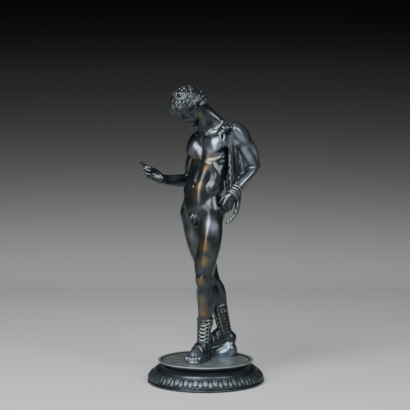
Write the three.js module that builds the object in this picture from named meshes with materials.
// A bronze statuette of a young wine god: nude but for a goatskin knotted on the left shoulder
// and a pair of open-toed boots, standing on a dished disc over a round moulded base.
// Millimetres, +Z up. The origin is the centre of the base's underside, and the front is -Y.
import * as THREE from "three";

// Driving dimensions
const BASE_RADIUS = 121.5;
const BASE_HEIGHT = 36;
const DISC_RADIUS = 98.5;
const DISC_TOP = 44;
const RIM_HEIGHT = 2;
const RIM_WIDTH = 3.5;
const JOINT_GAP = 0.3; // between pieces that only rest on each other
const LEAVES = 36; // in the band round the base
const LEAF_RELIEF = 2.4;
const FIGURE_TRIANGLES = 7300;
const CELL = 2.6; // of the grid that the figure's surface is found on

const V = (x, y, z) => new THREE.Vector3(x, y, z);
const mix = (a, b, t) => a + (b - a) * t;
const between = (a, b, t) => a.clone().lerp(b, t);
const clamp01 = (t) => Math.min(1, Math.max(0, t));

// The joints of the body, as the figure stands
const LEFT = {
  hip: V(14, -15, 352),
  knee: V(-3, -18, 213),
  ankle: V(-4, 0, 74),
  shoulder: V(62, -27, 519),
  elbow: V(101, 21, 446),
  wrist: V(55, -29, 389),
};
const RIGHT = {
  hip: V(-31, 25, 347),
  knee: V(9, 26, 213),
  ankle: V(43, 50, 94),
  shoulder: V(-18, 45, 500),
  elbow: V(-33, 76, 417),
  wrist: V(-95, 13, 421),
};
const PELVIS = V(-8, 5, 350);
const CHEST = V(11, 8, 474);
const TRUNK_LENGTH = 126; // from the pelvis up to the middle of the chest
const SKULL = V(-38.5, -16, 574);
const HEAD_SIZE = 0.88; // on the sizes given for the head's masses

// A set of axes in the body: left, front and up
class Axes {
  constructor(origin, left, up) {
    this.origin = origin;
    this.left = left.clone().normalize();
    this.front = this.left.clone().cross(up).normalize();
    this.up = this.front.clone().cross(this.left);
  }

  at(left, front, up) {
    return this.origin
      .clone()
      .addScaledVector(this.left, left)
      .addScaledVector(this.front, front)
      .addScaledVector(this.up, up);
  }
}

// The axes of a limb from joint a to joint b: out from the body, front, and along by its share
class LimbAxes {
  constructor(a, b, front, side) {
    this.a = a;
    this.along = b.clone().sub(a);
    this.length = this.along.length();
    this.up = this.along.clone().negate().normalize();
    this.left = this.up.clone().cross(front).normalize();
    this.front = this.left.clone().cross(this.up);
    this.out = this.left.clone().multiplyScalar(side);
  }

  at(out, front, share) {
    return this.a
      .clone()
      .addScaledVector(this.out, out)
      .addScaledVector(this.front, front)
      .addScaledVector(this.along, share);
  }
}

// Clay: rounded masses that are added to and cut from each other with soft joins
class Clay {
  masses = [];

  // A tapered round bar from a to b. thin is [direction, share]: how flat it is in that direction.
  bar(a, b, ra, rb, soft = 6, { cut = false, thin = null } = {}) {
    const reach = Math.max(ra, rb);
    this.masses.push({
      cut,
      soft,
      centre: between(a, b, 0.5),
      reach: reach + a.distanceTo(b) / 2,
      distance: thin ? flatBar(a, b, ra, rb, thin) : roundBar(a, b, ra, rb),
    });
    return this;
  }

  // An egg with a radius along each of the axes left, front and up
  egg(centre, axes, radii, soft = 6, { cut = false } = {}) {
    this.masses.push({
      cut,
      soft,
      centre,
      reach: Math.max(...radii),
      distance: egg(centre, axes, radii),
    });
    return this;
  }

  // A cord through several points
  cord(points, radius, soft = 2) {
    for (let i = 1; i < points.length; i++)
      this.bar(points[i - 1], points[i], radius, radius, soft);
    return this;
  }
}

function roundBar(a, b, ra, rb) {
  const dx = b.x - a.x,
    dy = b.y - a.y,
    dz = b.z - a.z;
  const square = dx * dx + dy * dy + dz * dz || 1;
  return (x, y, z) => {
    const px = x - a.x,
      py = y - a.y,
      pz = z - a.z;
    const t = clamp01((px * dx + py * dy + pz * dz) / square);
    return Math.hypot(px - t * dx, py - t * dy, pz - t * dz) - mix(ra, rb, t);
  };
}

function flatBar(a, b, ra, rb, [direction, share]) {
  const n = direction.clone().normalize();
  const stretch = 1 / share - 1;
  const d = b.clone().sub(a);
  const e = d.clone().addScaledVector(n, d.dot(n) * stretch);
  const square = e.lengthSq() || 1;
  return (x, y, z) => {
    const px = x - a.x,
      py = y - a.y,
      pz = z - a.z;
    const s = (px * n.x + py * n.y + pz * n.z) * stretch;
    const qx = px + n.x * s,
      qy = py + n.y * s,
      qz = pz + n.z * s;
    const t = clamp01((qx * e.x + qy * e.y + qz * e.z) / square);
    const rx = qx - t * e.x,
      ry = qy - t * e.y,
      rz = qz - t * e.z;
    const off = Math.hypot(rx, ry, rz);
    const u = (rx * n.x + ry * n.y + rz * n.z) * stretch;
    const steep = Math.hypot(rx + n.x * u, ry + n.y * u, rz + n.z * u);
    return ((off - mix(ra, rb, t)) * off) / (steep || 1);
  };
}

function egg(c, axes, [rl, rf, ru]) {
  const { left: l, front: f, up: u } = axes;
  return (x, y, z) => {
    const px = x - c.x,
      py = y - c.y,
      pz = z - c.z;
    const a = (px * l.x + py * l.y + pz * l.z) / rl;
    const b = (px * f.x + py * f.y + pz * f.z) / rf;
    const g = (px * u.x + py * u.y + pz * u.z) / ru;
    const k = Math.hypot(a, b, g);
    const steep = Math.hypot(a / rl, b / rf, g / ru);
    return steep < 1e-9 ? -Math.min(rl, rf, ru) : (k * (k - 1)) / steep;
  };
}

// The distance to the clay's surface, less than 0 inside
function depthIn(masses, x, y, z) {
  let d = 1e3;
  for (const m of masses) {
    const v = m.cut ? -m.distance(x, y, z) : m.distance(x, y, z);
    const h = Math.max(m.soft - Math.abs(d - v), 0) / m.soft;
    const join = (h * h * m.soft) / 4;
    d = m.cut ? Math.max(d, v) + join : Math.min(d, v) - join;
  }
  return d;
}

const clay = new Clay();
const both = (shape) => [1, -1].forEach(shape);

// The trunk: pelvis and chest have their own axes, and the waist turns from one to the other
const pelvis = new Axes(PELVIS, LEFT.hip.clone().sub(RIGHT.hip), V(0, 0, 1));
const chest = new Axes(CHEST, V(0.82, -0.56, 0.1), V(0.03, 0.03, 1));
function trunk(left, front, height) {
  const t = clamp01(height / TRUNK_LENGTH);
  return between(
    pelvis.at(left, front, height),
    chest.at(left, front, height - TRUNK_LENGTH),
    t * t * (3 - 2 * t),
  );
}
const furrow = (from, to, radius, soft) =>
  clay.bar(from, to, radius, radius * 0.8, soft, { cut: true });

function addTrunk() {
  clay.egg(trunk(0, 0, 10), pelvis, [45, 31, 36], 10);
  clay.bar(trunk(0, 1, 34), trunk(1, 1, 66), 43, 40, 10, { thin: [pelvis.front, 0.74] });
  clay.bar(trunk(1, 1, 66), trunk(1, 1, 96), 39, 38, 10, { thin: [pelvis.front, 0.76] });
  clay.egg(trunk(0, 0, 118), chest, [41, 31, 46], 10);
  clay.egg(trunk(0, -3, 146), chest, [41, 26, 26], 10);
  both((s) => {
    // breast muscles over the cage, the side of the cage, and the saw muscle on it
    clay.egg(trunk(s * 19, 21, 135), chest, [20, 10.5, 16], 4);
    clay.egg(trunk(s * 27, 17, 140), chest, [17, 10, 14], 5);
    clay.bar(trunk(s * 8, 19, 152), trunk(s * 38, 12, 152), 8, 9, 8);
    clay.bar(trunk(s * 35, -9, 138), trunk(s * 31, -8, 84), 11, 7, 10);
    for (const step of [0, 1, 2])
      clay.egg(trunk(s * (37 - step), 10 - 3 * step, 117 - 11 * step), chest, [5, 9, 4.5], 4);
    // shoulder blades and the loins' two columns
    clay.egg(trunk(s * 23, -20, 140), chest, [17, 8, 21], 8);
    clay.bar(trunk(s * 9, -21, 138), trunk(s * 9, -21, 34), 8, 9, 8);
    // belly in rows, and the flank's roll over the hip bone
    clay.egg(trunk(s * 8.5, 23, 102), chest, [9, 6.5, 9], 4);
    clay.egg(trunk(s * 8.5, 23.5, 85), chest, [9, 6.5, 9], 4);
    clay.egg(trunk(s * 8.5, 24, 69), pelvis, [9, 6.5, 9], 4);
    clay.egg(trunk(s * 9, 23, 44), pelvis, [12, 9, 20], 6);
    clay.egg(trunk(s * 32, 3, 51), pelvis, [14, 20, 16], 7);
    // seat and hip
    clay.egg(trunk(s * 20, -19, -2), pelvis, [22, 20, 26], 8);
    clay.egg(trunk(s * 35, -2, 2), pelvis, [14, 18, 28], 10);
  });
  clay.egg(trunk(0, 19, 22), pelvis, [27, 14, 27], 10);
  clay.egg(trunk(0, 22, -10), pelvis, [14, 11, 12], 6);
  // furrows: breastbone, middle line, under the breast, across the belly, groin, spine and seat
  furrow(trunk(0, 35, 154), trunk(0, 35, 120), 4.5, 5);
  furrow(trunk(0, 33.5, 112), trunk(0, 34.5, 62), 3.2, 4);
  furrow(trunk(0, -36, 150), trunk(0, -34, 26), 5, 7);
  clay.egg(trunk(0, 34.5, 57), pelvis, [2.2, 4.5, 3], 2.5, { cut: true });
  both((s) => {
    furrow(trunk(s * 6, 34, 114), trunk(s * 33, 23, 119), 2.8, 4);
    furrow(trunk(s * 37, 27, 28), trunk(s * 12, 34, -5), 3.2, 6);
    furrow(trunk(s * 2, 34, 94), trunk(s * 17, 31, 93), 1.8, 3);
    furrow(trunk(s * 2, 34.5, 77), trunk(s * 17, 32, 76), 1.8, 3);
  });
  furrow(trunk(0, -42, 6), trunk(0, -36, -26), 3.5, 5);
  clay.bar(trunk(0, 30, -5), trunk(0, 33, -15), 4, 3.4, 2.5);
  both((s) => clay.egg(trunk(s * 3.6, 26, -17), pelvis, [4.6, 5, 6.5], 2.5));
}

// The girdle that hangs each arm on the chest
function addShoulder(side, upper) {
  const s = side;
  const top = upper.a.clone().add(V(0, 0, 9));
  clay.bar(trunk(s * 6, -2, 150), upper.a, 22, 14, 12);
  clay.bar(trunk(s * 4, -14, 168), top, 12, 8, 12);
  clay.bar(trunk(s * 4, 20, 163), top, 3.4, 4.5, 6);
  clay.bar(trunk(s * 24, 19, 142), upper.at(-2, 7, 0.24), 13, 8, 8);
  clay.bar(trunk(s * 32, -15, 122), upper.at(-2, -8, 0.26), 12, 8, 8);
}

function addThigh(axes) {
  const at = (out, front, share) => axes.at(out, front, share);
  clay.bar(at(2, 0, 0.02), at(2, 0, 0.3), 20, 24.5, 10);
  clay.bar(at(2, 0, 0.3), at(0, 0, 1), 24.5, 16.5, 10);
  clay.bar(at(2, 9, 0.12), at(0, 7, 0.75), 14, 9.5, 8);
  clay.bar(at(11, 1, 0.18), at(7, 2, 0.8), 15, 11, 8);
  clay.bar(at(-7, 6, 0.62), at(-8, 6, 0.88), 11, 9.5, 6);
  clay.bar(at(-8, -3, 0.06), at(-6, -3, 0.6), 17, 11, 8);
  clay.bar(at(3, -10, 0.08), at(1, -6, 0.85), 14, 10, 8);
}

function addKnee(thigh, shank) {
  clay.egg(shank.at(0, -1, 0), shank, [17.5, 15.5, 17], 7);
  clay.egg(thigh.at(0, 13.5, 0.99), thigh, [8.5, 5, 10], 3.5);
  clay.bar(shank.at(0, 13, 0.06), shank.at(0, 12, 0.13), 4.5, 4.5, 4);
}

function addShank(axes) {
  const at = (out, front, share) => axes.at(out, front, share);
  clay.bar(at(0, 1, 0.02), at(0, 0, 1), 14.5, 10.5, 8);
  clay.bar(at(-6, -11, 0.08), at(-4, -12, 0.42), 11, 8, 7);
  clay.bar(at(8, -5, 0.02), at(11, -6, 0.28), 10, 12, 7);
  clay.bar(at(11, -6, 0.28), at(5, -5, 0.62), 12, 7, 7);
  clay.bar(at(0, -9, 0.3), at(0, -7, 0.85), 11, 7, 8);
  clay.bar(at(5, 6, 0.15), at(2, 5, 0.7), 8, 5.5, 6);
}

// A boot: a laced shaft with a rolled top, and a foot that leaves the toes bare.
// foot has its origin on the sole under the ankle, with front along the foot.
function addBoot(shank, foot, side, top) {
  clay.bar(shank.at(2, -3.5, top), shank.at(0, 0, 0.97), 15.6, 13, 3);
  const rings = 12;
  const rim = Array.from({ length: rings + 1 }, (_, i) => {
    const turn = (i / rings) * 2 * Math.PI;
    return shank.at(15.8 * Math.cos(turn) + 2, 15.8 * Math.sin(turn) - 3.5, top);
  });
  clay.cord(rim, 1.9, 2);
  const at = (out, front, up) => foot.at(out * side, front, up);
  const flat = { thin: [foot.up, 0.45] };
  clay.egg(at(0, -12, 13), foot, [13, 14.5, 14], 6);
  clay.bar(at(0, 2, 29), at(-3, 17, 23), 14, 12.4, 6);
  clay.bar(at(-3, 17, 23), at(-4, 38, 13), 12.4, 9.6, 6);
  clay.bar(at(1, 6, 10), at(1, 34, 10), 12.5, 15, 6, { thin: [foot.up, 0.72] });
  clay.bar(at(0, -11, 3), at(1, 33, 3), 12, 16.6, 2, flat);
  clay.bar(at(1, 33, 3), at(0, 44, 3), 16.6, 16, 2, flat);
  const toes = [
    [-11.5, 40, 53, 5.8],
    [-3.6, 43, 55, 4.7],
    [3, 42, 53, 4.5],
    [9.2, 39, 49, 4.2],
    [14.8, 35, 44, 3.9],
  ];
  for (const [out, root, tip, radius] of toes)
    clay.bar(at(out, root, 11.5), at(out * 0.95 - 0.4, tip, 9), radius, radius * 0.86, 1.6);
  // lappets under the roll
  const lappets = 8;
  for (let i = 0; i < lappets; i++) {
    const turn = ((i + 0.5) / lappets) * 2 * Math.PI;
    if (Math.sin(turn) > 0.8) continue; // the laced front
    const hang = (share) => shank.at(15.6 * Math.cos(turn) + 2, 15.6 * Math.sin(turn) - 3.5, share);
    clay.bar(hang(top + 0.02), hang(top + 0.11), 3.2, 2.4, 2);
  }
  // laces crossing up the shaft between two edges
  const rows = 5;
  for (let row = 0; row < rows; row++) {
    const share = mix(0.94, top + 0.06, row / rows);
    const next = mix(0.94, top + 0.06, (row + 1) / rows);
    both((s) => clay.bar(shank.at(s * 7, 11, share), shank.at(-s * 7, 11, next), 1.6, 1.6, 1.5));
  }
  both((s) => clay.bar(shank.at(s * 8, 9.5, 0.93), shank.at(s * 8, 9, top + 0.04), 2, 2, 2));
}

// swell is how much fuller than usual the upper arm looks
function addArm(upper, fore, swell) {
  const a = (out, front, share) => upper.at(out, front, share);
  clay.bar(a(0, 0, 0), a(0, 0, 1), 14, 11.5, 9);
  clay.egg(a(3, 0, 0.14), upper, [14, 17, 26], 8);
  clay.bar(a(0, 7, 0.38), a(0, 6, 0.72), 11, 9, 6);
  clay.bar(a(1, -7, 0.3), a(0, -6, 0.75), 11.5, 9, 6);
  clay.bar(a(8 * swell, -4, 0.3), a(7 * swell, -4, 0.8), 10.5 * swell, 8.5 * swell, 6);
  clay.egg(a(0, -2, 1), upper, [12, 11.5, 11], 5);
  const f = (out, front, share) => fore.at(out, front, share);
  clay.bar(f(0, 0, 0), f(0, 0, 1), 12, 9.2, 6);
  clay.bar(f(4, 3, 0.08), f(3, 2, 0.45), 10.5, 8, 6);
  clay.bar(f(-4, -1, 0.12), f(-3, -1, 0.5), 10.5, 8, 6);
}

// Axes of a hand: up runs back along the arm, left toward the thumb, front out of the palm
function handAxes(wrist, reach, thumbward, palmward) {
  const up = reach.clone().negate().normalize();
  const front = palmward.clone().addScaledVector(up, -palmward.dot(up)).normalize();
  const left = thumbward
    .clone()
    .addScaledVector(up, -thumbward.dot(up))
    .addScaledVector(front, -thumbward.dot(front))
    .normalize();
  return Object.assign(Object.create(Axes.prototype), { origin: wrist, left, front, up });
}

// A finger of three bones from its knuckle, each turned further toward the palm
function addFinger(knuckle, towards, palmward, bends, lengths, radius) {
  const axis = towards.clone().cross(palmward).normalize();
  const direction = towards.clone().normalize();
  let point = knuckle;
  lengths.forEach((length, i) => {
    direction.applyAxisAngle(axis, THREE.MathUtils.degToRad(bends[i]));
    const next = point.clone().addScaledVector(direction, length);
    clay.bar(point, next, radius * (1 - 0.08 * i), radius * (0.92 - 0.08 * i), 1.2);
    point = next;
  });
}

// fingers: for each, the way it leaves the knuckle and the bends of its three joints
function addHand(hand, fingers, thumb) {
  const at = (thumbward, palmward, far) => hand.at(thumbward, palmward, -far);
  const flat = { thin: [hand.front, 0.74] };
  clay.bar(at(0, 0, -4), at(0, 0, 8), 8.2, 8.8, 5, flat);
  clay.bar(at(3.5, 0, 10), at(5.5, 0.5, 28), 7.8, 7.2, 5, flat);
  clay.bar(at(-4, 0, 10), at(-6, 0.5, 26), 7.6, 6.8, 5, flat);
  clay.bar(at(6, 3, 6), at(8, 4, 16), 5, 4.4, 4);
  clay.bar(at(-5, 3, 6), at(-7, 3, 18), 3.6, 3.6, 4);
  const rows = [
    [9, 28, 3.4, [14.5, 9.5, 7.5]],
    [3.4, 32, 3.8, [15, 10, 7.5]],
    [-2.8, 31, 3.7, [14, 9.5, 7]],
    [-8.6, 28, 3.4, [11, 8, 6]],
  ];
  rows.forEach(([thumbward, far, radius, lengths], i) => {
    const [towards, ...bends] = fingers[i];
    addFinger(at(thumbward, 0, far), towards, hand.front, bends, lengths, radius);
  });
  clay.cord(
    thumb.map(([thumbward, palmward, far]) => at(thumbward, palmward, far)),
    3.9,
    2,
  );
}

function headAxes() {
  const heading = THREE.MathUtils.degToRad(74);
  const pitch = THREE.MathUtils.degToRad(51);
  const flat = V(-Math.sin(heading), -Math.cos(heading), 0);
  const up = flat.clone().multiplyScalar(Math.sin(pitch)).add(V(0, 0, Math.cos(pitch)));
  return new Axes(SKULL, V(Math.cos(heading), -Math.sin(heading), -0.06), up);
}

function addHeadAndNeck(head) {
  const k = HEAD_SIZE;
  const at = (left, front, up) => head.at(left * k, front * k, up * k);
  const egg = (centre, radii, soft, options) =>
    clay.egg(centre, head, radii.map((r) => r * k), soft, options);
  clay.bar(trunk(0, -7, 152), at(0, -10, -14), 18.5, 15.5, 8);
  clay.egg(trunk(0, -7, 168), chest, [30, 17, 14], 10);
  both((s) => {
    clay.bar(at(s * 19, -8, -16), trunk(s * 4, 17, 164), 5, 4, 6);
    clay.bar(at(s * 8, -19, -12), trunk(s * 20, -12, 166), 9, 12, 14);
  });
  clay.bar(at(2, -20, -16), V(38, -4, 530), 9, 10, 12);
  egg(at(0, -4, 5), [25.5, 31, 26], 6);
  egg(at(0, 12, -16), [19.5, 16, 26], 8);
  egg(at(0, 12, 6), [22, 17, 17], 8);
  both((s) => {
    clay.bar(at(s * 17, 0, -23), at(s * 4, 21, -42), 6.5 * k, 5.5 * k, 6);
    egg(at(s * 12.5, 18, -18), [7.5, 6, 9], 7);
    clay.bar(at(s * 5, 27, -3.5), at(s * 17, 23, -4), 3.4 * k, 3 * k, 4);
    egg(at(s * 9.5, 30, -11), [5.5, 4, 4], 3, { cut: true });
    egg(at(s * 9.5, 23.5, -10.5), [5, 4.6, 4], 1.5);
    egg(at(s * 3.2, 30, -21.5), [2.4, 3, 2.2], 1.6);
    clay.cord(
      [at(s * 26, -3, -6), at(s * 28, -6, -10), at(s * 27, -6, -16), at(s * 25, -2, -20)],
      2.4 * k,
      1.5,
    );
  });
  clay.bar(at(0, 28, -5), at(0, 33.5, -20), 2.5 * k, 3.2 * k, 3);
  egg(at(0, 24, -42), [8, 7, 6.5], 5);
  egg(at(0, 28.6, -29), [6.2, 2.8, 1.9], 1.8);
  egg(at(0, 28, -33), [5, 3, 2.1], 1.8);
}

// Curls: short thick locks over the skull, in rings from the crown down to the hairline, with a
// wreath of ivy leaves and two clusters of berries at its lower edge
function addHair(head) {
  const k = HEAD_SIZE;
  // a place on the scalp, by its turn from the front and its tilt from the crown
  const scalp = (turn, tilt, height) => {
    const low = Math.max(0, tilt - Math.PI / 2);
    const rise = height + 8 * low; // the nape is full
    const flat = low > 0 ? Math.sin(tilt) ** 0.7 : Math.sin(tilt);
    return head.at(
      (26 * k + rise) * flat * Math.sin(turn),
      -4 * k + (31 * k + rise) * flat * Math.cos(turn),
      5 * k + (26 * k + rise) * Math.cos(tilt),
    );
  };
  clay.egg(head.at(0, -8 * k, 7 * k), head, [32 * k, 35.5 * k, 29.5 * k], 4);
  clay.egg(head.at(0, -31 * k, -17 * k), head, [17 * k, 9 * k, 13 * k], 8);
  const rings = [
    [0.1, 1],
    [0.42, 7],
    [0.74, 12],
    [1.06, 16],
    [1.38, 19],
    [1.7, 20],
    [2.0, 18],
    [2.3, 14],
    [2.55, 10],
  ];
  rings.forEach(([tilt, count], ring) => {
    for (let i = 0; i < count; i++) {
      const turn = ((i + (ring % 2) / 2) / count) * 2 * Math.PI;
      const facing = Math.cos(turn);
      if (tilt > 1.25 && facing > 0.5) continue; // the face
      if (tilt > 1.6 && facing > -0.1) continue; // the ears
      if (tilt > 2.4 && facing > -0.8) continue; // behind the ears
      const rise = tilt > 1.2 ? 6.5 : 4.5;
      const twist = 0.2;
      clay.cord(
        [
          scalp(turn - twist, tilt - 0.1, rise),
          scalp(turn, tilt + 0.02, rise + 2.2),
          scalp(turn + twist, tilt + 0.08, rise),
        ],
        3.6,
        2,
      );
    }
  });
  const leaves = 10;
  for (let i = 0; i < leaves; i++) {
    const turn = ((i + 0.5) / leaves) * 2 * Math.PI;
    const line = 1.2 + (0.25 * (1 - Math.cos(turn))) / 2;
    const stalk = scalp(turn, line, 8.5);
    const outward = stalk.clone().sub(scalp(turn, line, 0));
    for (const lift of [1, -1])
      clay.bar(stalk, scalp(turn, line - 0.25 * lift, 10), 4, 2.4, 1.5, { thin: [outward, 0.55] });
  }
  both((s) => clay.egg(scalp(s * 0.42, 1.2, 10.5), head, [4.6, 4.6, 4.6], 1.5));
}

const legs = {
  left: [
    new LimbAxes(LEFT.hip, LEFT.knee, V(-0.4, -0.92, 0), 1),
    new LimbAxes(LEFT.knee, LEFT.ankle, V(-0.28, -0.96, 0), 1),
  ],
  right: [
    new LimbAxes(RIGHT.hip, RIGHT.knee, V(-0.75, -0.66, 0), -1),
    new LimbAxes(RIGHT.knee, RIGHT.ankle, V(-0.92, -0.38, -0.2), -1),
  ],
};

// The goatskin: knotted on the left shoulder, it hangs between trunk and arm and is wound round
// the wrist, with one leg of the hide left dangling
function addGoatskin(upper, fore) {
  const over = [
    V(30, -46, 514),
    V(40, -38, 527),
    V(49, -20, 534),
    V(52, 2, 530),
    V(50, 18, 512),
  ];
  for (let i = 1; i < over.length; i++)
    clay.bar(over[i - 1], over[i], 8 + i, 9 + i, 3, { thin: [V(0.1, -0.3, 1), 0.45] });
  clay.cord([V(33, -50, 516), V(29, -53, 508), V(31, -54, 501)], 3.2, 1.5);
  clay.cord([V(37, -48, 514), V(38, -53, 506), V(36, -55, 500)], 2.8, 1.5);
  // the hanging part, in folds
  clay.bar(V(53, -6, 500), V(58, -8, 424), 24, 20, 4, { thin: [V(1, 0, 0), 0.2] });
  const folds = [
    [V(49, -30, 508), V(51, -22, 396), 5.5, 5.5],
    [V(56, -14, 506), V(60, -14, 402), 6.5, 6],
    [V(54, 2, 506), V(66, -4, 412), 7, 6],
    [V(50, 16, 506), V(60, 14, 426), 7, 4],
    [V(66, 6, 486), V(76, 5, 428), 7, 6],
    [V(52, -6, 430), V(54, -14, 394), 8, 5.5],
    [V(43, 2, 446), V(47, -10, 398), 7, 5.5],
  ];
  for (const [from, to, r0, r1] of folds) clay.bar(from, to, r0, r1, 5);
  // two turns round the wrist and a broader one below them
  for (const [share, radius, thick] of [
    [0.82, 10.8, 2.4],
    [0.96, 11, 2.4],
    [1.05, 11, 3],
  ]) {
    const turns = 12;
    const ring = Array.from({ length: turns + 1 }, (_, i) => {
      const turn = (i / turns) * 2 * Math.PI;
      return fore.at(radius * Math.cos(turn), radius * Math.sin(turn), share);
    });
    clay.cord(ring, thick, 2);
  }
  // the leg
  clay.bar(V(67, -22, 388), V(66, -24, 370), 6, 5.4, 3);
  clay.bar(V(66, -24, 370), V(63, -25, 353), 5.4, 4.6, 3);
  clay.cord([V(63, -25, 353), V(55, -26, 340), V(44, -26, 331)], 4, 2);
}

function buildClay() {
  addTrunk();
  for (const [thigh, shank] of Object.values(legs)) {
    addThigh(thigh);
    addShank(shank);
    addKnee(thigh, shank);
  }
  const leftFoot = new Axes(V(LEFT.ankle.x, LEFT.ankle.y, DISC_TOP), V(0.89, -0.455, 0), V(0, 0, 1));
  addBoot(legs.left[1], leftFoot, 1, 0.6);
  const rightFoot = new Axes(V(43, 50, 66), V(0.1, -0.99, 0), V(-0.24, 0, 0.97));
  addBoot(legs.right[1], rightFoot, -1, 0.5);
  // the rock that props the right foot
  clay.bar(V(49, 50, 57), V(4, 50, 45), 18.5, 10, 4);
  clay.bar(V(46, 52, 44), V(0, 52, 40), 22, 16, 5);

  const leftArm = [
    new LimbAxes(LEFT.shoulder, LEFT.elbow, V(0.2, -0.9, -0.4), 1),
    new LimbAxes(LEFT.elbow, LEFT.wrist, V(-0.2, -0.5, 0.8), 1),
  ];
  const rightArm = [
    new LimbAxes(RIGHT.shoulder, RIGHT.elbow, V(-0.6, -0.75, 0), -1),
    new LimbAxes(RIGHT.elbow, RIGHT.wrist, V(0, 0, 1), -1),
  ];
  addShoulder(1, leftArm[0]);
  addShoulder(-1, rightArm[0]);
  addArm(...leftArm, 1.15);
  addArm(...rightArm, 1);

  const rise = V(-0.8, -0.37, 0.47);
  const pointing = handAxes(RIGHT.wrist, rise, V(0.2, 0.1, 0.95), V(0.6, -0.75, 0.1));
  addHand(
    pointing,
    [
      [V(-0.78, -0.42, 0.46), 0, 3, 3],
      [rise, 45, 92, 60],
      [rise, 48, 88, 55],
      [rise, 50, 84, 50],
    ],
    [
      [7, 4, 8],
      [7, 9, 24],
      [0, 11, 38],
      [-3, 9, 45],
    ],
  );
  const drop = V(-0.42, -0.12, -0.9);
  const resting = handAxes(LEFT.wrist, drop, V(-0.9, -0.43, 0), V(-0.43, 0.9, 0));
  addHand(
    resting,
    [
      [drop, 35, 45, 30],
      [drop, 40, 50, 30],
      [drop, 45, 50, 30],
      [drop, 50, 50, 35],
    ],
    [
      [8, 2, 6],
      [14, 3, 16],
      [16, 5, 27],
    ],
  );
  addGoatskin(...leftArm);

  const head = headAxes();
  addHeadAndNeck(head);
  addHair(head);
}

// The surface of the clay, found on a grid cut into tetrahedra
function surfaceOf(masses, floor) {
  const box = new THREE.Box3();
  for (const m of masses) {
    if (m.cut) continue;
    box.expandByPoint(m.centre.clone().addScalar(m.reach));
    box.expandByPoint(m.centre.clone().subScalar(m.reach));
  }
  box.expandByScalar(2 * CELL);
  box.min.z = floor - 2 * CELL;
  const size = box.getSize(V(0, 0, 0)).divideScalar(CELL).ceil().addScalar(1);
  const [nx, ny, nz] = size.toArray();
  const values = new Float32Array(nx * ny * nz).fill(1e3);
  const index = (i, j, k) => (k * ny + j) * nx + i;
  const BLOCK = 6;
  const half = (BLOCK * CELL * Math.sqrt(3)) / 2;
  for (let k0 = 0; k0 < nz; k0 += BLOCK)
    for (let j0 = 0; j0 < ny; j0 += BLOCK)
      for (let i0 = 0; i0 < nx; i0 += BLOCK) {
        const middle = V(i0, j0, k0).addScalar(BLOCK / 2).multiplyScalar(CELL).add(box.min);
        const near = masses.filter((m) => m.centre.distanceTo(middle) < m.reach + half + 1.5 * m.soft + 4);
        if (!near.some((m) => !m.cut)) continue;
        for (let k = k0; k < Math.min(nz, k0 + BLOCK); k++)
          for (let j = j0; j < Math.min(ny, j0 + BLOCK); j++)
            for (let i = i0; i < Math.min(nx, i0 + BLOCK); i++) {
              const z = box.min.z + k * CELL;
              const d = Math.max(
                depthIn(near, box.min.x + i * CELL, box.min.y + j * CELL, z),
                floor - z,
              );
              values[index(i, j, k)] = Math.abs(d) < 1e-3 ? 1e-3 : d;
            }
      }

  // Each cube's corners, as steps along x, y and z, and the six tetrahedra round its long diagonal
  const corner = Array.from({ length: 8 }, (_, c) => index(c & 1, (c >> 1) & 1, c >> 2));
  const tetrahedra = [
    [0, 1, 3, 7],
    [0, 3, 2, 7],
    [0, 2, 6, 7],
    [0, 6, 4, 7],
    [0, 4, 5, 7],
    [0, 5, 1, 7],
  ];
  const vertexOf = new Map();
  const positions = [];
  const vertexBetween = (a, b) => {
    const [low, high] = a < b ? [a, b] : [b, a];
    const key = low * 8 + corner.indexOf(high - low);
    if (!vertexOf.has(key)) {
      const share = Math.min(0.94, Math.max(0.06, values[low] / (values[low] - values[high])));
      const place = (n) => [n % nx, Math.floor(n / nx) % ny, Math.floor(n / (nx * ny))];
      const p = place(low);
      const q = place(high);
      vertexOf.set(key, positions.length / 3);
      positions.push(
        box.min.x + CELL * mix(p[0], q[0], share),
        box.min.y + CELL * mix(p[1], q[1], share),
        box.min.z + CELL * mix(p[2], q[2], share),
      );
    }
    return vertexOf.get(key);
  };
  const triangles = [];
  for (let k = 0; k < nz - 1; k++)
    for (let j = 0; j < ny - 1; j++)
      for (let i = 0; i < nx - 1; i++) {
        const base = index(i, j, k);
        const inside = corner.filter((c) => values[base + c] < 0).length;
        if (inside === 0 || inside === 8) continue;
        for (const tetrahedron of tetrahedra) {
          const ids = tetrahedron.map((c) => base + corner[c]);
          const into = [0, 1, 2, 3].filter((n) => values[ids[n]] < 0);
          const outof = [0, 1, 2, 3].filter((n) => values[ids[n]] >= 0);
          // order keeps the corners' handedness, so that every face turns outwards
          const even = isEven([...into, ...outof]);
          const [a, b, c, d] = [...into, ...outof].map((n) => ids[n]);
          const face = (p, q, r) => triangles.push(...(even ? [p, q, r] : [p, r, q]));
          if (into.length === 1)
            face(vertexBetween(a, b), vertexBetween(a, c), vertexBetween(a, d));
          if (into.length === 3)
            face(vertexBetween(a, d), vertexBetween(b, d), vertexBetween(c, d));
          if (into.length === 2) {
            const [ac, ad, bc, bd] = [
              vertexBetween(a, c),
              vertexBetween(a, d),
              vertexBetween(b, c),
              vertexBetween(b, d),
            ];
            face(ac, ad, bd);
            face(ac, bd, bc);
          }
        }
      }
  return { positions, triangles };
}

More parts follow.
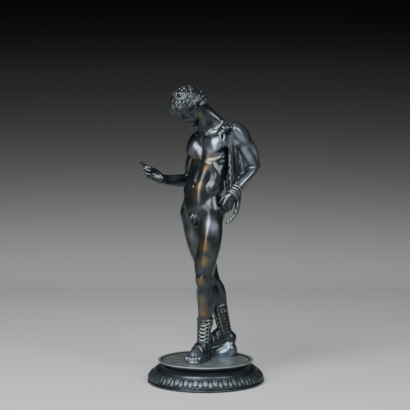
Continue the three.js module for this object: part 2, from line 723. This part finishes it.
// Only the largest closed skin is kept: pockets shut inside the clay are filled
function outerSkin({ positions, triangles }) {
  const root = Int32Array.from({ length: positions.length / 3 }, (_, i) => i);
  const find = (v) => {
    while (root[v] !== v) v = root[v] = root[root[v]];
    return v;
  };
  for (let i = 0; i < triangles.length; i += 3) {
    root[find(triangles[i + 1])] = find(triangles[i]);
    root[find(triangles[i + 2])] = find(triangles[i]);
  }
  const sizes = new Map();
  for (const v of triangles) sizes.set(find(v), (sizes.get(find(v)) ?? 0) + 1);
  const [largest] = [...sizes].reduce((a, b) => (b[1] > a[1] ? b : a));
  const kept = [];
  for (let i = 0; i < triangles.length; i += 3)
    if (find(triangles[i]) === largest) kept.push(...triangles.slice(i, i + 3));
  return { positions, triangles: kept };
}

function isEven(order) {
  let swaps = 0;
  for (let i = 0; i < order.length; i++)
    for (let j = i + 1; j < order.length; j++) if (order[i] > order[j]) swaps++;
  return swaps % 2 === 0;
}

// Fewer triangles: the edge whose loss moves the surface least goes first
function simplify({ positions, triangles }, wanted) {
  const P = Float64Array.from(positions);
  const count = P.length / 3;
  const faces = [];
  for (let i = 0; i < triangles.length; i += 3) faces.push(triangles.slice(i, i + 3));
  const facesAt = Array.from({ length: count }, () => new Set());
  const quadrics = new Float64Array(count * 10);
  const normalOf = (a, b, c) => {
    const ux = P[3 * b] - P[3 * a],
      uy = P[3 * b + 1] - P[3 * a + 1],
      uz = P[3 * b + 2] - P[3 * a + 2];
    const vx = P[3 * c] - P[3 * a],
      vy = P[3 * c + 1] - P[3 * a + 1],
      vz = P[3 * c + 2] - P[3 * a + 2];
    return [uy * vz - uz * vy, uz * vx - ux * vz, ux * vy - uy * vx];
  };
  faces.forEach((f, id) => {
    const n = normalOf(...f);
    const area = Math.hypot(...n) || 1e-12;
    const [a, b, c] = n.map((v) => v / area);
    const d = -(a * P[3 * f[0]] + b * P[3 * f[0] + 1] + c * P[3 * f[0] + 2]);
    const q = [a * a, a * b, a * c, a * d, b * b, b * c, b * d, c * c, c * d, d * d];
    for (const v of f) {
      facesAt[v].add(id);
      q.forEach((value, i) => (quadrics[10 * v + i] += value * area));
    }
  });
  const errorAt = (v, w, x, y, z) => {
    const q = (i) => quadrics[10 * v + i] + quadrics[10 * w + i];
    return (
      q(0) * x * x + 2 * q(1) * x * y + 2 * q(2) * x * z + 2 * q(3) * x +
      q(4) * y * y + 2 * q(5) * y * z + 2 * q(6) * y +
      q(7) * z * z + 2 * q(8) * z + q(9)
    );
  };
  const bestFor = (v, w) => {
    const q = (i) => quadrics[10 * v + i] + quadrics[10 * w + i];
    const m = new THREE.Matrix3().set(q(0), q(1), q(2), q(1), q(4), q(5), q(2), q(5), q(7));
    const middle = [0, 1, 2].map((i) => (P[3 * v + i] + P[3 * w + i]) / 2);
    const tries = [middle, [...P.slice(3 * v, 3 * v + 3)], [...P.slice(3 * w, 3 * w + 3)]];
    if (Math.abs(m.determinant()) > 1e-3) {
      const best = V(-q(3), -q(6), -q(8)).applyMatrix3(m.invert()).toArray();
      const far = Math.hypot(...best.map((value, i) => value - middle[i]));
      const edge = Math.hypot(...[0, 1, 2].map((i) => P[3 * v + i] - P[3 * w + i]));
      if (far < edge) tries.unshift(best);
    }
    let chosen = null;
    for (const t of tries) {
      const cost = errorAt(v, w, ...t);
      if (!chosen || cost < chosen.cost) chosen = { cost, place: t };
    }
    return chosen;
  };
  const neighbours = (v) => {
    const found = new Set();
    for (const f of facesAt[v]) for (const w of faces[f]) if (w !== v) found.add(w);
    return found;
  };
  // a heap of edges by cost; an entry is stale once either end has changed
  const version = new Int32Array(count);
  const heap = [];
  const push = (entry) => {
    let i = heap.push(entry) - 1;
    while (i > 0) {
      const parent = (i - 1) >> 1;
      if (heap[parent].cost <= heap[i].cost) break;
      [heap[parent], heap[i]] = [heap[i], heap[parent]];
      i = parent;
    }
  };
  const pop = () => {
    const top = heap[0];
    const last = heap.pop();
    if (heap.length) {
      heap[0] = last;
      let i = 0;
      for (;;) {
        const l = 2 * i + 1,
          r = l + 1;
        let least = i;
        if (l < heap.length && heap[l].cost < heap[least].cost) least = l;
        if (r < heap.length && heap[r].cost < heap[least].cost) least = r;
        if (least === i) break;
        [heap[least], heap[i]] = [heap[i], heap[least]];
        i = least;
      }
    }
    return top;
  };
  const offer = (v, w) => {
    const { cost, place } = bestFor(v, w);
    push({ cost, place, v, w, stamp: version[v] + version[w] });
  };
  faces.forEach(([a, b, c]) => {
    if (a < b) offer(a, b);
    if (b < c) offer(b, c);
    if (c < a) offer(c, a);
  });
  let left = faces.length;
  while (left > wanted && heap.length) {
    const { place, v, w, stamp } = pop();
    if (facesAt[v].size === 0 || facesAt[w].size === 0) continue;
    if (stamp !== version[v] + version[w]) continue;
    const shared = [...facesAt[v]].filter((f) => facesAt[w].has(f));
    if (shared.length !== 2) continue;
    const aroundW = neighbours(w);
    const common = [...neighbours(v)].filter((n) => aroundW.has(n));
    if (common.length !== 2) continue;
    const turned = (from, other) => {
      for (const f of facesAt[from]) {
        if (facesAt[other].has(f)) continue;
        const before = normalOf(...faces[f]);
        const kept = [P[3 * from], P[3 * from + 1], P[3 * from + 2]];
        [P[3 * from], P[3 * from + 1], P[3 * from + 2]] = place;
        const after = normalOf(...faces[f]);
        [P[3 * from], P[3 * from + 1], P[3 * from + 2]] = kept;
        const dot = before[0] * after[0] + before[1] * after[1] + before[2] * after[2];
        const sizes = Math.hypot(...before) * Math.hypot(...after);
        if (dot < 0.25 * sizes || Math.hypot(...after) < 0.02) return true;
      }
      return false;
    };
    if (turned(v, w) || turned(w, v)) continue;
    for (const f of shared) {
      for (const n of faces[f]) facesAt[n].delete(f);
      faces[f] = null;
    }
    left -= 2;
    for (const f of facesAt[w]) {
      faces[f] = faces[f].map((n) => (n === w ? v : n));
      facesAt[v].add(f);
    }
    facesAt[w].clear();
    [P[3 * v], P[3 * v + 1], P[3 * v + 2]] = place;
    for (let i = 0; i < 10; i++) quadrics[10 * v + i] += quadrics[10 * w + i];
    version[v] += 1 + version[w];
    for (const n of neighbours(v)) offer(v, n);
  }
  return { P, faces: faces.filter(Boolean) };
}

function geometryOf({ P, faces }) {
  const used = new Map();
  const positions = [];
  const index = faces.flat().map((v) => {
    if (!used.has(v)) {
      used.set(v, used.size);
      positions.push(P[3 * v], P[3 * v + 1], P[3 * v + 2]);
    }
    return used.get(v);
  });
  const geometry = new THREE.BufferGeometry();
  geometry.setAttribute("position", new THREE.Float32BufferAttribute(positions, 3));
  geometry.setIndex(index);
  return geometry;
}

buildClay();
const figureGeometry = geometryOf(
  simplify(outerSkin(surfaceOf(clay.masses, DISC_TOP + JOINT_GAP)), FIGURE_TRIANGLES),
);

// The round base: foot fillet, a leaf-carved swelling band, a smooth roll, and a flat top
const BAND_FROM = 4; // rows of the profile that the leaves stand out on
const BAND_TO = 5;
const baseProfile = [
  [0, 0],
  [BASE_RADIUS, 0],
  [BASE_RADIUS, 5],
  [BASE_RADIUS - 2.5, 6.5],
  [BASE_RADIUS - 1.5, 11],
  [BASE_RADIUS - 5, 18],
  [BASE_RADIUS - 11, 23.5],
  [BASE_RADIUS - 14, 25],
  [BASE_RADIUS - 16, 28.5],
  [BASE_RADIUS - 21, 32],
  [BASE_RADIUS - 28, 34.5],
  [BASE_RADIUS - 36, BASE_HEIGHT],
  [0, BASE_HEIGHT],
];
const discProfile = [
  [0, BASE_HEIGHT + JOINT_GAP],
  [DISC_RADIUS - 12, BASE_HEIGHT + JOINT_GAP],
  [DISC_RADIUS - 9, BASE_HEIGHT + 3],
  [DISC_RADIUS - 1.5, DISC_TOP - 1.5],
  [DISC_RADIUS, DISC_TOP],
  [DISC_RADIUS - 0.5, DISC_TOP + RIM_HEIGHT],
  [DISC_RADIUS - RIM_WIDTH, DISC_TOP + RIM_HEIGHT],
  [DISC_RADIUS - RIM_WIDTH - 2, DISC_TOP],
  [0, DISC_TOP],
];

function turned(profile, segments) {
  const points = profile.map(([r, z]) => new THREE.Vector2(r, z));
  return new THREE.LatheGeometry(points, segments).rotateX(Math.PI / 2);
}

// Each leaf is two segments wide: its spine stands out and the joint with the next lies back
function leafCarved(geometry, rows) {
  const place = geometry.getAttribute("position");
  for (let i = 0; i < place.count; i++) {
    const row = i % rows;
    const segment = Math.floor(i / rows);
    if (row < BAND_FROM || row > BAND_TO) continue;
    const radius = Math.hypot(place.getX(i), place.getY(i));
    const share = 1 + ((segment % 2 ? -0.5 : 0.5) * LEAF_RELIEF) / radius;
    place.setXY(i, place.getX(i) * share, place.getY(i) * share);
  }
  return geometry;
}

const piece = (name, geometry, material) => {
  const mesh = new THREE.Mesh(geometry, new THREE.MeshStandardMaterial(material));
  mesh.name = name;
  return mesh;
};
const bronze = { color: 0x2a2c2b, roughness: 0.38, metalness: 0.8 };
const statuette = new THREE.Group();
statuette.add(
  piece("figure", figureGeometry, bronze),
  piece("disc", turned(discProfile, 60), bronze),
  piece(
    "moulded_base",
    leafCarved(turned(baseProfile, 2 * LEAVES), baseProfile.length),
    bronze,
  ),
);

export default statuette;
